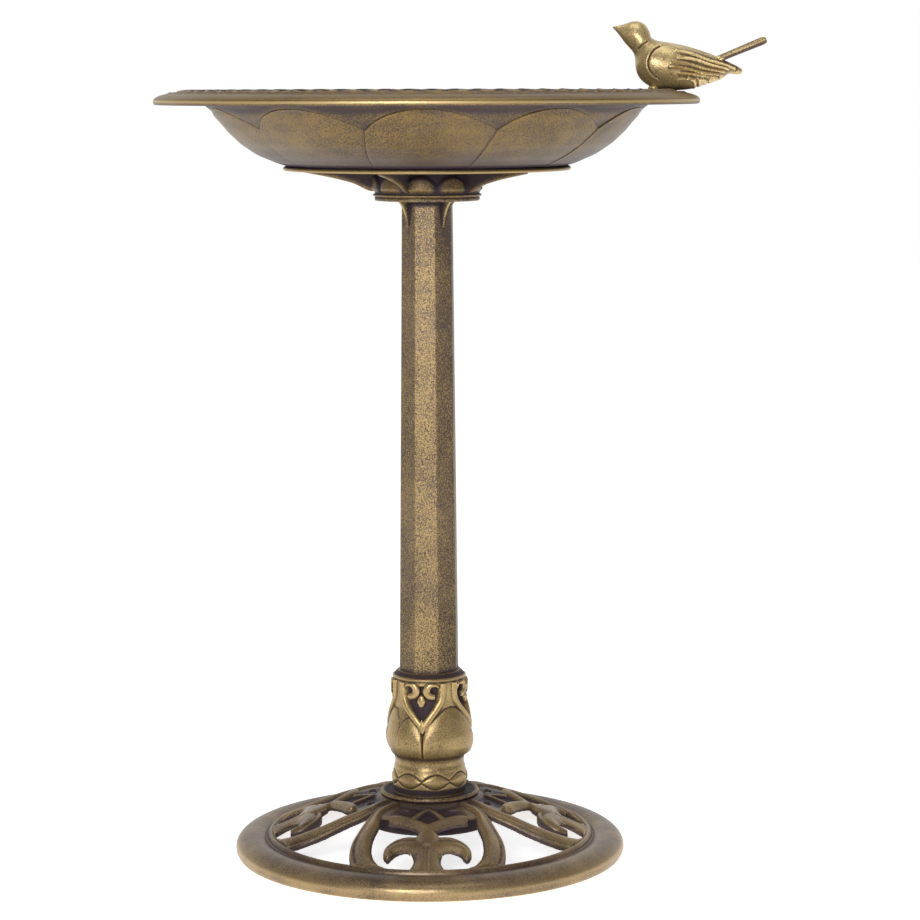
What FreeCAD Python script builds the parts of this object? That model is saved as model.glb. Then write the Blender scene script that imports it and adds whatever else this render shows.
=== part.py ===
"""Pedestal bird bath: openwork base, octagonal column with a collar, lift-off bowl, bird on the rim.

Millimetres, +Z up. The origin is on the column's axis at floor level, and the front is -Y.
Angles round the axis are measured from the front, and grow towards +X.
"""

import FreeCAD, Part
import math
import os

# ---- Driving dimensions -------------------------------------------------------------------

bowl_radius = 254.0          # outside of the rim's lip
rim_top = 725.4              # highest ring of the rim, which the bird stands on
rim_underside = 719.4
bowl_foot_radius = 134.5
bowl_foot_bottom = 651.6
bowl_floor = 656.0           # inside floor of the bowl

support_radius = 51.0        # drum under the bowl
support_ledge = 640.0        # ledge inside the drum, which rests the bowl's bosses
support_ledge_top = 643.6
fin_count = 5
fin_turn = -21.0
fin_reach = 117.0
fin_thickness = 3.6
boss_circle = 22.0           # radius of the circle of bosses that hold the support to the bowl
boss_radius = 5.0
support_screw_count = 4

column_turn = -4.9           # turn of the octagon's front facet
column_top = 623.2           # underside of the column's top plate
cap_top = 627.0              # the bowl's support stands here
column_shoulder = 150.0      # lower end of the octagon, hidden in the collar
column_foot = 104.0          # lower end of the round tenon
column_apothem_top = 23.05
column_apothem_bottom = 27.47
column_wall = 3.5
tenon_radius = 23.9
cap_radius = 49.1
spigot_radius = 43.0         # spigot that the bowl's support drops over
spigot_wall = 7.0
spigot_top = 639.0
gusset_foot = 599.0
gusset_reach = 35.2
gusset_thickness = 2.2

collar_top = 177.3
flange_radius = 47.3
flange_seat = 58.6           # where the collar stands on the flange
flange_spigot = 26.9

base_radius = 186.0
bead_radius = 152.5
base_turn = -1.3
unit_count = 4
openwork_depth = 8.0
openwork_span = (5.0, 60.0)  # heights that the openwork's outlines are cut between
hub_radius = 49.0
hub_top = 56.0               # the flange rests here
hub_underside = hub_top - openwork_depth
skirt_radius = 60.0
skirt_wall = 3.5
skirt_bottom = 28.0

rod_radius = 4.0             # M8 tie rod through the pedestal
rod_top = 637.0
rod_bottom = 30.0
nut_height = 6.5
nut_across_flats = 13.0
washer_height = 1.6
washer_radius = 12.0
running_gap = 0.06           # between the spigot and the bowl's support
fixed_gap = 0.1              # between pieces that are clamped together
thread_gap = 0.02            # between a thread and its nut

screw_radius = 2.0           # M4
screw_head_radius = 3.8
screw_head_height = 2.4

bird_x = 224.0               # the bird's screw, on the rim's +X side
bird_wall = 2.5
key_width = 6.0
key_reach = 1.9


# ---- Building blocks ------------------------------------------------------------------------

def vector(x, y, z=0.0):
    return FreeCAD.Vector(x, y, z)


def outline(start, *steps):
    """A closed wire. A step of one point is straight, two make an arc, more make a smooth curve."""
    edges = []
    here = start
    for step in steps:
        end = step[-1]
        if len(step) == 1:
            edges.append(Part.makeLine(here, end))
        elif len(step) == 2:
            edges.append(Part.Arc(here, step[0], end).toShape())
        else:
            curve = Part.BSplineCurve()
            curve.interpolate([here] + list(step))
            edges.append(curve.toShape())
        here = end
    if (here - start).Length > 1e-6:
        edges.append(Part.makeLine(here, start))
    return Part.Wire(edges)


def turned(start, *steps):
    """A solid of revolution about Z, from (radius, height) points."""
    def point(pair):
        return vector(pair[0], 0.0, pair[1])
    wire = outline(point(start), *[[point(pair) for pair in step] for step in steps])
    return Part.Face(wire).revolve(vector(0, 0, 0), vector(0, 0, 1), 360.0)


def slab(bottom, top, start, *steps):
    """An upright prism between two heights, from (sideways, outward) points at the front."""
    def point(pair):
        return vector(pair[0], -pair[1], bottom)
    wire = outline(point(start), *[[point(pair) for pair in step] for step in steps])
    return Part.Face(wire).extrude(vector(0, 0, top - bottom))


def plate(thickness, start, *steps):
    """An upright plate through the axis at the front, from (radius, height) points."""
    def point(pair):
        return vector(-thickness / 2, -pair[0], pair[1])
    wire = outline(point(start), *[[point(pair) for pair in step] for step in steps])
    return Part.Face(wire).extrude(vector(thickness, 0, 0))


def post(radius, bottom, top, x=0.0, y=0.0):
    return Part.makeCylinder(radius, top - bottom, vector(x, y, bottom))


def turn(shape, degrees):
    """The shape turned about the axis: the front moves towards +X."""
    copy = shape.copy()
    copy.rotate(vector(0, 0, 0), vector(0, 0, 1), degrees)
    return copy


def around(shape, count, first=0.0):
    return [turn(shape, first + 360.0 * step / count) for step in range(count)]


def join(shapes):
    return shapes[0].fuse(shapes[1:]).removeSplitter() if len(shapes) > 1 else shapes[0]


def octagon(apothem, height):
    corner = apothem / math.cos(math.pi / 8)
    points = []
    for step in range(9):
        angle = math.radians(column_turn + 22.5 + 45.0 * step)
        points.append(vector(corner * math.sin(angle), -corner * math.cos(angle), height))
    return Part.makePolygon(points)


def column_apothem(height):
    share = (height - column_shoulder) / (column_top - column_shoulder)
    return column_apothem_bottom + share * (column_apothem_top - column_apothem_bottom)


def octagon_bar(inset, bottom, top):
    """The column's octagon between two heights, with its faces moved in by the inset."""
    rings = [octagon(column_apothem(height) - inset, height) for height in (bottom, top)]
    return Part.makeLoft(rings, True, True)


def ring(outer, inner, bottom, top):
    return post(outer, bottom, top).cut(post(inner, bottom, top))


def circle_spots(radius, count, first=0.0):
    spots = []
    for step in range(count):
        angle = math.radians(first + 360.0 * step / count)
        spots.append((radius * math.sin(angle), -radius * math.cos(angle)))
    return spots


# ---- Base -----------------------------------------------------------------------------------

def base_rim():
    """Broad hollow outer ring with a rounded lip, a groove and a bead round its inner edge."""
    return turned(
        (180.5, 0.0), [(184.0, 0.0)], [(base_radius, 7.5), (182.5, 14.5)],
        [(178.5, 17.2), (172.0, 19.3), (166.0, 19.4), (160.5, 17.4)],
        [(157.5, 16.2), (155.4, 18.2)], [(bead_radius, 21.2), (149.6, 18.2)],
        [(149.6, 11.0)], [(153.0, 11.0)], [(160.0, 12.6), (168.0, 14.3), (174.0, 13.4)],
        [(179.6, 10.0), (180.5, 5.0)],
    )


def dome():
    """The domed sheet that the openwork is cut from."""
    top = [(54.0, hub_top), (60.0, 55.2), (75.0, 51.5), (100.0, 43.0), (125.0, 33.0), (151.0, 20.5)]
    low = [(radius, height - openwork_depth) for radius, height in reversed(top)]
    return turned((0.0, hub_top), [(hub_radius, hub_top)], top, low[:1], low[1:],
                  [(hub_radius, hub_underside)], [(0.0, hub_underside)])


def sided(points, side):
    """The points on the right of the unit, or their mirror images when side is -1."""
    return [(side * x, y) for x, y in points]


def leg(side):
    """Curved leg from the hub to the rim, whose foot runs round inside the bead to the stem."""
    outer = [(52.9, 53.1), (65.2, 78.4), (73.0, 99.7), (74.6, 115.5), (72.5, 133.5)]
    inner = [(31.0, 145.6), (39.4, 142.5), (47.2, 132.4), (51.2, 117.7), (50.6, 99.7),
             (45.6, 79.5), (43.9, 63.7)]

    foot = [(62.0, 139.0), (47.0, 144.5), (20.0, 151.0)]
    return slab(*openwork_span, (side * 42.0, 36.0), sided(outer, side), sided(foot, side),
                [(side * 17.0, 146.5)], sided(inner, side), [(side * 30.0, 54.0)])


def chevron():
    """V-shaped band across the hub's edge, filled behind its pointed pit."""
    return slab(*openwork_span, (-44.0, 52.0), [(-43.0, 66.0)], [(-30.0, 72.5)], [(0.0, 97.0)],
                [(30.0, 72.5)], [(43.0, 66.0)], [(44.0, 52.0)])


def stem():
    """Six-sided block on the chevron's point, with a stem from it to the rim."""
    return slab(*openwork_span, (-8.0, 90.0), [(-8.0, 99.0)], [(-12.5, 108.0)], [(-11.0, 117.5)],
                [(-13.0, 128.0), (-12.4, 138.0), (-17.5, 149.0)], [(17.5, 149.0)],
                [(12.4, 138.0), (13.0, 128.0), (11.0, 117.5)], [(12.5, 108.0)], [(8.0, 99.0)],
                [(8.0, 90.0)])


def horn(side):
    """Scroll that leaves the block sideways and curls down to a rounded tip."""
    outer = [(22.5, 106.5), (33.7, 113.2), (39.9, 125.6), (38.6, 133.6)]
    tip = [(36.6, 135.6), (34.6, 133.2)]
    inner = [(32.4, 127.6), (26.6, 124.2), (19.0, 125.8), (12.6, 131.5)]
    return slab(*openwork_span, (side * 8.0, 107.8), sided(outer, side), sided(tip, side),
                sided(inner, side), [(side * 8.0, 131.5)])


def light_hole(side):
    """Small slot through the hub's sheet beside the chevron."""
    return slab(*openwork_span, (side * 17.0, 55.5), [(side * 23.0, 51.5), (side * 30.0, 51.0)],
                [(side * 31.0, 54.5), (side * 29.0, 56.5)], [(side * 23.0, 58.5), (side * 17.0, 55.5)])


def base():
    unit = [leg(-1), leg(1), chevron(), stem(), horn(-1), horn(1)]
    pieces = [post(skirt_radius, *openwork_span)]
    for shape in unit:
        pieces += around(shape, unit_count, base_turn)
    openwork = dome().common(join(pieces))
    for side in (-1, 1):
        for hole in around(light_hole(side), unit_count, base_turn):
            openwork = openwork.cut(hole)
    skirt = ring(skirt_radius, skirt_radius - skirt_wall, skirt_bottom, hub_underside + 1.0)
    body = join([openwork, base_rim(), skirt])
    return body.cut(post(rod_radius + fixed_gap, 0.0, 60.0))


# ---- Pedestal -------------------------------------------------------------------------------

def foot_flange():
    """Saucer under the collar, with a spigot that keeps the collar central."""
    return turned(
        (rod_radius + fixed_gap, hub_top), [(46.3, hub_top)],
        [(flange_radius, 58.4), (46.0, 60.8)], [(44.6, 60.4)], [(40.5, 59.0), (36.5, flange_seat)],
        [(flange_spigot, flange_seat)], [(flange_spigot, 84.0)], [(22.0, 84.0)], [(22.0, 63.0)],
        [(rod_radius + fixed_gap, 63.0)],
    )


def collar():
    """Vase-shaped sleeve that hides the joint between the column and the base."""
    socket_radius = flange_spigot + fixed_gap
    shape = turned(
        (socket_radius, flange_seat), [(34.5, flange_seat)], [(34.5, 64.5)], [(36.0, 67.5)],
        [(36.4, 72.0), (36.0, 77.0), (33.2, 82.4)], [(31.8, 86.5)], [(31.8, 92.0)],
        [(33.3, 94.4), (37.0, 98.6), (40.3, 105.8), (40.9, 113.0), (39.4, 124.0)],
        [(37.3, 135.5), (35.2, 147.0), (34.7, 156.0), (34.9, 165.4)],
        [(34.8, 168.2), (33.2, 170.2)], [(32.3, 173.0)], [(30.6, collar_top)],
        [(0.0, collar_top)], [(0.0, 100.0)], [(socket_radius, 100.0)],
    )
    shape = shape.cut(post(tenon_radius + fixed_gap, column_foot, column_shoulder))
    shape = shape.cut(post(rod_radius + fixed_gap, 90.0, column_foot))
    return shape.cut(octagon_bar(-fixed_gap, column_shoulder, collar_top + 1.0))


def gusset():
    """Small rib under the column's top plate, with a hollow edge."""
    root = column_apothem(gusset_foot) - 1.0
    return plate(gusset_thickness, (root, gusset_foot), [(root + 1.0, gusset_foot)],
                 [(25.4, 608.0), (29.0, 616.5), (gusset_reach, column_top)],
                 [(root, column_top)])


def spigot_keys():
    """Two keys that stop the bowl turning."""
    key = plate(key_width - 2 * running_gap, (spigot_radius - 1.0, cap_top),
                [(spigot_radius + key_reach, cap_top)],
                [(spigot_radius + key_reach, spigot_top)], [(spigot_radius - 1.0, spigot_top)])
    return around(key, 2, 90.0)


def column():
    """Tapered octagonal tube with a tenon below, and a top plate and spigot above."""
    inner = octagon_bar(column_wall, column_shoulder + 4.0, column_top - 5.0)
    tube = octagon_bar(0.0, column_shoulder, column_top).cut(inner)
    tube = tube.cut(post(tenon_radius - column_wall, column_shoulder, column_shoulder + 4.0))
    tenon = ring(tenon_radius, tenon_radius - column_wall, column_foot, column_shoulder)
    cap = turned((0.0, column_top), [(cap_radius - 0.6, column_top)], [(cap_radius, column_top + 0.6)],
                 [(cap_radius, cap_top - 1.2)], [(cap_radius - 1.2, cap_top)], [(0.0, cap_top)])
    spigot = ring(spigot_radius, spigot_radius - spigot_wall, cap_top, spigot_top)
    gussets = around(gusset(), 4, column_turn + 45.0)
    body = join([tube, tenon, cap, spigot] + gussets + spigot_keys())
    return body.cut(post(rod_radius + fixed_gap, column_top - 10.0, cap_top))


# ---- Bowl and its support -------------------------------------------------------------------

def fin():
    """Thin bracket that spreads the bowl's weight, hollow along its lower edge."""
    return plate(fin_thickness, (48.0, bowl_foot_bottom), [(48.0, 630.5)], [(56.0, 631.2)],
                 [(60.0, 634.5), (67.0, 638.0), (80.0, 641.9), (96.6, 645.6), (fin_reach, 649.2)],
                 [(fin_reach, bowl_foot_bottom)])


def bowl_support():
    """Drum with a ledge inside and brackets outside, which drops over the column's spigot."""
    bore = spigot_radius + running_gap
    drum = turned(
        (bore, cap_top), [(49.4, cap_top)], [(support_radius, 629.0)],
        [(support_radius, 640.0)], [(49.0, 646.0), (49.0, bowl_foot_bottom)],
        [(45.0, bowl_foot_bottom)], [(45.0, support_ledge_top)], [(6.0, support_ledge_top)],
        [(6.0, support_ledge)], [(bore, support_ledge)],
    )
    body = join([drum] + around(fin(), fin_count, fin_turn))
    keyway = plate(key_width, (bore - 1.0, cap_top), [(bore + key_reach, cap_top)],
                   [(bore + key_reach, support_ledge)], [(bore - 1.0, support_ledge)])
    for slot in around(keyway, 2, 90.0):
        body = body.cut(slot)
    for x, y in circle_spots(boss_circle, support_screw_count, 45.0):
        body = body.cut(post(screw_radius + 0.2, support_ledge, support_ledge_top, x, y))
    return body


def bowl():
    """Shallow bowl with a rolled rim, a flat foot, and bosses under it for the support's screws."""
    shell = turned(
        (0.0, bowl_foot_bottom), [(133.6, bowl_foot_bottom)],
        [(bowl_foot_radius, 653.4), (133.2, 655.2)], [(130.5, 656.0)],
        [(140.0, 658.7), (162.4, 670.2), (179.0, 683.0), (195.0, 699.5), (205.8, 711.0)],
        [(207.6, 716.0), (212.5, rim_underside)], [(235.0, rim_underside)],
        [(243.0, 717.6), (249.6, 712.9)], [(251.6, 712.6)],
        [(bowl_radius, 715.2), (251.2, 718.0)],
        [(245.0, 721.0), (238.0, 723.4), (231.0, rim_top)], [(211.0, rim_top)],
        [(207.1, 724.2), (204.6, 721.0)],
        [(202.0, 713.2), (191.2, 701.6), (176.4, 686.0), (160.2, 673.6), (138.0, 662.0), (122.0, bowl_floor)],
        [(0.0, bowl_floor)],
    )
    bosses = []
    holes = []
    for x, y in circle_spots(boss_circle, support_screw_count, 45.0):
        bosses.append(post(boss_radius, support_ledge_top, bowl_foot_bottom + 1.0, x, y))
        holes.append(post(screw_radius + thread_gap, support_ledge_top, 653.6, x, y))
    body = join([shell] + bosses)
    for hole in holes + [post(screw_radius + 0.25, 715.0, 730.0, bird_x, 0.0)]:
        body = body.cut(hole)
    return body


# ---- Bird -----------------------------------------------------------------------------------

# Places along the bird, from the beak to the wing tips: the place in the side view, the tilt of
# the cut through it, and the cut's half height and half width.
bird_cuts = [
    (173.2, 783.0, 38.0, 0.5, 0.5),
    (180.0, 780.6, 38.0, 4.6, 4.2),
    (188.0, 777.0, 34.0, 9.6, 9.0),
    (196.0, 773.6, 20.0, 13.8, 12.4),
    (202.0, 766.0, 48.0, 13.2, 13.6),
    (209.0, 756.0, 46.0, 18.6, 20.0),
    (222.0, 747.6, 14.0, 21.2, 23.6),
    (240.0, 745.6, 8.0, 19.6, 23.4),
    (258.0, 745.2, 4.0, 14.8, 18.4),
    (274.0, 744.6, 4.0, 8.4, 11.6),
    (286.0, 744.0, 4.0, 3.9, 6.6),
    (291.4, 743.6, 4.0, 1.6, 2.8),
]


def bird_body(inset, cuts):
    """Smooth body through oval cuts, each made smaller by the inset."""
    wires = []
    for x, z, tilt, half_height, half_width in cuts:
        angle = math.radians(tilt)
        up = vector(math.sin(angle), 0, math.cos(angle))
        across = vector(0, 1, 0)
        high, wide = half_height - inset, half_width - inset
        long_way, short_way = (up, across) if high > wide else (across, up)
        oval = Part.Ellipse(vector(x, 0, z) + long_way * max(high, wide),
                            vector(x, 0, z) + short_way * min(high, wide), vector(x, 0, z))
        wires.append(Part.Wire(oval.toShape()))
    return Part.makeLoft(wires, True)


def bird_tail():
    """Flat blade that rises behind the rump."""
    wire = outline(vector(262.0, -8.0, 746.0), [vector(262.0, -8.0, 751.0)],
                   [vector(313.6, -8.0, 773.4)], [vector(316.6, -8.0, 768.6)])
    return Part.Face(wire).extrude(vector(0, 16.0, 0))


def bird():
    """The whole hollow bird, cut off flat where it stands on the rim."""
    outside = bird_body(0.0, bird_cuts)
    feet = post(2.6, rim_top, rim_top + 6.0, 212.0, -7.0).fuse(post(2.6, rim_top, rim_top + 6.0, 212.0, 7.0))
    hollow = bird_body(bird_wall, bird_cuts[3:10])
    boss = post(5.0, rim_top, rim_top + 16.0, bird_x, 0.0)
    body = outside.cut(hollow).fuse([boss.common(outside), bird_tail(), feet])
    below = Part.makeBox(200.0, 80.0, 40.0, vector(160.0, -40.0, rim_top - 40.0))
    body = body.cut(below).removeSplitter()
    return body.cut(post(screw_radius + thread_gap, rim_top - 1.0, rim_top + 13.0, bird_x, 0.0))


def bird_half(side):
    """One moulded half of the bird: side -1 is the half at the front."""
    low = -60.0 if side < 0 else 0.0
    return bird().common(Part.makeBox(200.0, 60.0, 120.0, vector(160.0, low, 700.0)))


# ---- Fasteners ------------------------------------------------------------------------------

def hexagon_nut(bottom):
    corner = nut_across_flats / 2 / math.cos(math.pi / 6)
    points = []
    for step in range(7):
        angle = math.radians(60.0 * step)
        points.append(vector(corner * math.cos(angle), corner * math.sin(angle), bottom))
    blank = Part.Face(Part.makePolygon(points)).extrude(vector(0, 0, nut_height))
    return blank.cut(post(rod_radius + thread_gap, bottom, bottom + nut_height))


def rod_washer(bottom):
    return ring(washer_radius, rod_radius + fixed_gap, bottom, bottom + washer_height)


def pan_screw(x, y, seat, tip):
    """Upright M4 screw whose head is below its seat."""
    head = post(screw_head_radius, seat - screw_head_height, seat, x, y)
    return head.fuse(post(screw_radius, seat, tip, x, y)).removeSplitter()


def support_screws():
    screws = [pan_screw(x, y, support_ledge, 653.0)
              for x, y in circle_spots(boss_circle, support_screw_count, 45.0)]
    return Part.makeCompound(screws)


def bird_washer():
    washer = ring(5.0, screw_radius + 0.25, rim_underside - 1.0, rim_underside)
    return washer.translated(vector(bird_x, 0, 0))


def bird_screw():
    return pan_screw(bird_x, 0.0, rim_underside - 1.0, 737.0)


def main():
    nodes = {
        "base": base(),
        "foot_flange": foot_flange(),
        "collar": collar(),
        "column": column(),
        "tie_rod": post(rod_radius, rod_bottom, rod_top),
        "rod_top_washer": rod_washer(cap_top),
        "rod_top_nut": hexagon_nut(cap_top + washer_height),
        "rod_bottom_washer": rod_washer(hub_underside - washer_height),
        "rod_bottom_nut": hexagon_nut(hub_underside - washer_height - nut_height),
        "bowl_support": bowl_support(),
        "support_screws": support_screws(),
        "bowl": bowl(),
        "bird_front_half": bird_half(-1),
        "bird_back_half": bird_half(1),
        "bird_washer": bird_washer(),
        "bird_screw": bird_screw(),
    }
    os.makedirs("parts", exist_ok=True)
    for name, shape in nodes.items():
        shape.exportStep("parts/" + name + ".step")
        box = shape.BoundBox
        print(name, len(shape.Solids), "solids", shape.isValid(), round(shape.Volume / 1000, 1), "cm3",
              [round(value, 1) for value in (box.XMin, box.YMin, box.ZMin, box.XMax, box.YMax, box.ZMax)])


main()
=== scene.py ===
"""Looks of the pedestal bird bath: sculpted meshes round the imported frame, in antique bronze paint."""
import math

import bmesh
import bpy
import numpy as np
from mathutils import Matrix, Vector


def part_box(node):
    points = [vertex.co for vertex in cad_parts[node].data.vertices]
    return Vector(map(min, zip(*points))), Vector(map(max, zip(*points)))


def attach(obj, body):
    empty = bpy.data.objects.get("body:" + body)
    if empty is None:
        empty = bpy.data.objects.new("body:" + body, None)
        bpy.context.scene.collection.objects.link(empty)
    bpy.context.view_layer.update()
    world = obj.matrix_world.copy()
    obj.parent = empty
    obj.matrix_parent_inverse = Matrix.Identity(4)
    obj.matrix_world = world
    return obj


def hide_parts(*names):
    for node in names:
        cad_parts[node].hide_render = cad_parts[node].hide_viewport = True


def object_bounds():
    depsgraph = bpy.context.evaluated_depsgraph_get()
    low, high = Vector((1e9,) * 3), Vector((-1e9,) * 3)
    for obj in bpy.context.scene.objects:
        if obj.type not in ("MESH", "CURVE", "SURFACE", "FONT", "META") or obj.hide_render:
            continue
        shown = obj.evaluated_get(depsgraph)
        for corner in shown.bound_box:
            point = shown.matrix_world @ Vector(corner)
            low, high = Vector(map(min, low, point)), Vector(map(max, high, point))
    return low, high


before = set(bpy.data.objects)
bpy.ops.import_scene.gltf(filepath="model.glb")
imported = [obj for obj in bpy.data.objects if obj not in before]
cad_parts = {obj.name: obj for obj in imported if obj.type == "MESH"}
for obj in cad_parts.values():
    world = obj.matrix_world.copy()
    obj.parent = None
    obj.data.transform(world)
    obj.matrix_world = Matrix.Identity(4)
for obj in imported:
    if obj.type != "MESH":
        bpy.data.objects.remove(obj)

# Lengths below are in millimetres, heights are above the ground, and angles are in degrees from
# the front (-Y), growing towards +X. Everything is turned to metres when a mesh is made.
MM = 0.001


def heights(node):
    """Lowest and highest point of a CAD node."""
    low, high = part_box(node)
    return low[2] / MM, high[2] / MM


CAD_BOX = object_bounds()
RIM_TOP = heights("bowl")[1]
CAP_TOP, FOOT = heights("bowl_support")  # top of the column's plate, and underside of the bowl's foot
COLUMN_LOW, COLUMN_HIGH = heights("column")
COLLAR_LOW, COLLAR_HIGH = heights("collar")
HUB_TOP = heights("foot_flange")[0]
RING_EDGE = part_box("base")[1][1] / MM  # outer radius of the base
COLUMN_TURN = -4.9  # turn of the octagon's front facet
BASE_TURN = -0.5  # turn of the openwork's front scroll


# ---- Shapes in numbers ----

def lengths_along(points):
    """Distance of each point from the first, along the line through them all."""
    return np.concatenate([[0], np.cumsum(np.linalg.norm(np.diff(points, axis=0), axis=1))])


def smooth_path(points, step):
    """Points about one step apart along a smooth curve through the given points."""
    knots = np.array(points, float)
    place = lengths_along(knots)
    at = np.linspace(0, place[-1], max(2, int(round(place[-1] / step)) + 1))
    if len(knots) == 2:
        return np.stack([np.interp(at, place, column) for column in knots.T], 1)
    slopes = np.gradient(knots, place, axis=0)
    span = np.clip(np.searchsorted(place, at, side="right") - 1, 0, len(knots) - 2)
    width = (place[span + 1] - place[span])[:, None]
    u = (at - place[span])[:, None] / width
    ease = 3 * u ** 2 - 2 * u ** 3
    bend = (u ** 3 - 2 * u ** 2 + u) * slopes[span] + (u ** 3 - u ** 2) * slopes[span + 1]
    return (1 - ease) * knots[span] + ease * knots[span + 1] + bend * width


def chain(start, *stretches):
    """Points along a profile, and the number of each one's stretch. A stretch is (step, level,
    corners). It goes on from the last one's end, through corners as (radius, height over level)."""
    knots, points, numbers = [start], [], []
    for number, (step, level, corners) in enumerate(stretches):
        knots = [knots[-1]] + [(radius, level + rise) for radius, rise in corners]
        part = smooth_path(knots, step)[min(number, 1):]
        points.append(part)
        numbers.append(np.full(len(part), number))
    points, numbers = np.concatenate(points), np.concatenate(numbers)
    if np.allclose(points[0], points[-1]):
        return points[:-1], numbers[:-1]
    return points, numbers


def ramp(value, start, end):
    """0 up to the start, 1 from the end on, and smooth between. The end may be below the start."""
    t = np.clip((value - start) / (end - start), 0, 1)
    return t * t * (3 - 2 * t)


def bump(distance, width):
    """A smooth hill: 1 at no distance, 0 from one width on."""
    t = np.clip(1 - np.abs(distance) / width, 0, 1)
    return t * t * (3 - 2 * t)


def wrap(degrees, period):
    """The angle within half a period of 0."""
    return (degrees + period / 2) % period - period / 2


def segment_distance(x, y, start, end):
    """Distance from points to a straight segment."""
    a, b = np.array(start, float), np.array(end, float)
    along = b - a
    share = np.clip(((x - a[0]) * along[0] + (y - a[1]) * along[1]) / (along @ along), 0, 1)
    return np.hypot(x - a[0] - share * along[0], y - a[1] - share * along[1])


def curve_distance(x, y, points):
    """Distance from points to a smooth curve."""
    path = smooth_path(points, 1)
    near = np.full(np.shape(x), 1e9)
    for start, end in zip(path[:-1], path[1:]):
        near = np.minimum(near, segment_distance(x, y, start, end))
    return near


def polar(co):
    """Radius, angle and height of points."""
    return np.hypot(co[:, 0], co[:, 1]), np.degrees(np.arctan2(co[:, 0], -co[:, 1])), co[:, 2]


def grid_faces(rows, columns, close_rows=False):
    """Four-sided faces between closed rows of points."""
    a, b = np.meshgrid(np.arange(rows if close_rows else rows - 1), np.arange(columns), indexing="ij")
    up, right = (a + 1) % rows, (b + 1) % columns
    quads = np.stack([a * columns + b, a * columns + right, up * columns + right, up * columns + b], -1)
    return quads.reshape(-1, 4)


def rings(profile, degrees):
    """Angle, radius and height of a ring of points for each point of a profile."""
    angle, radius = np.meshgrid(degrees, profile[:, 0])
    return angle, radius, np.meshgrid(degrees, profile[:, 1])[1]


def lifted(lift, profile, radius, height, close=False):
    """Radius and height of rings moved out of their surface."""
    if close:
        slope = np.roll(profile, -1, axis=0) - np.roll(profile, 1, axis=0)
    else:
        slope = np.gradient(profile, axis=0)
    slope /= np.maximum(np.linalg.norm(slope, axis=1), 1e-9)[:, None]
    return np.maximum(radius + lift * slope[:, 1][:, None], 0), height - lift * slope[:, 0][:, None]


def turned(points, degrees):
    """Points turned about the axis: the front moves towards +X."""
    c, s = math.cos(math.radians(degrees)), math.sin(math.radians(degrees))
    return points @ np.array([[c, s, 0], [-s, c, 0], [0, 0, 1]])


# ---- Meshes ----

def scene_object(name, data):
    item = bpy.data.objects.new(name, data)
    bpy.context.scene.collection.objects.link(item)
    return item


def mesh_object(name, points, faces):
    """An object from points in millimetres, with doubled points joined and faces turned outwards."""
    mesh = bpy.data.meshes.new(name)
    mesh.from_pydata((np.asarray(points) * MM).tolist(), [], [list(map(int, face)) for face in faces])
    tool = bmesh.new()
    tool.from_mesh(mesh)
    bmesh.ops.remove_doubles(tool, verts=tool.verts, dist=2e-6)
    bmesh.ops.recalc_face_normals(tool, faces=tool.faces)
    tool.to_mesh(mesh)
    tool.free()
    return scene_object(name, mesh)


def ring_mesh(name, angle, radius, height, close=False):
    """A surface through rings of points round the axis."""
    turn = np.radians(angle)
    points = np.stack([radius * np.sin(turn), -radius * np.cos(turn), height], -1)
    return mesh_object(name, points.reshape(-1, 3), grid_faces(*radius.shape, close))


def revolved(name, profile, steps, relief=None, close=False):
    """A turned shape. The relief moves its points out of the surface."""
    angle, radius, height = rings(profile, np.arange(steps) * 360 / steps)
    lift = relief(angle, radius, height) if relief else np.zeros_like(radius)
    return ring_mesh(name, angle, *lifted(lift, profile, radius, height, close), close)


def apply_modifiers(item):
    """The object with its modifiers made real."""
    graph = bpy.context.evaluated_depsgraph_get()
    made = bpy.data.meshes.new_from_object(item.evaluated_get(graph))
    item.modifiers.clear()
    old = item.data
    item.data = made
    bpy.data.meshes.remove(old)
    made.name = item.name


def combine(item, others, operation="UNION"):
    """One clean shell from overlapping closed ones, or the first with the others cut away."""
    for other in others:
        modifier = item.modifiers.new("combine", "BOOLEAN")
        modifier.operation = operation
        modifier.solver = "MANIFOLD"
        modifier.object = other
    apply_modifiers(item)
    for other in others:
        bpy.data.objects.remove(other)


def soften(item, size, rounds):
    """Even facets of one size over the whole shell, with its corners worn round."""
    even = item.modifiers.new("even", "REMESH")
    even.mode = "VOXEL"
    even.voxel_size = size * MM
    worn = item.modifiers.new("worn", "SMOOTH")
    worn.factor = 0.5
    worn.iterations = rounds
    apply_modifiers(item)


def rows_of(items, name, width, kind=np.float32):
    """One property of all the items of a mesh, as rows of numbers."""
    out = np.zeros(len(items) * width, kind)
    items.foreach_get(name, out)
    return out.reshape(-1, width)


def spread(values, pairs, rounds):
    """Values averaged with their neighbours' along the mesh's edges."""
    count = np.zeros(len(values))
    np.add.at(count, pairs[:, 0], 1)
    np.add.at(count, pairs[:, 1], 1)
    count = np.maximum(count, 1).reshape(-1, *[1] * (values.ndim - 1))
    for _ in range(rounds):
        total = np.zeros_like(values)
        np.add.at(total, pairs[:, 0], values[pairs[:, 1]])
        np.add.at(total, pairs[:, 1], values[pairs[:, 0]])
        values = 0.4 * values + 0.6 * total / count
    return values


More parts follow.
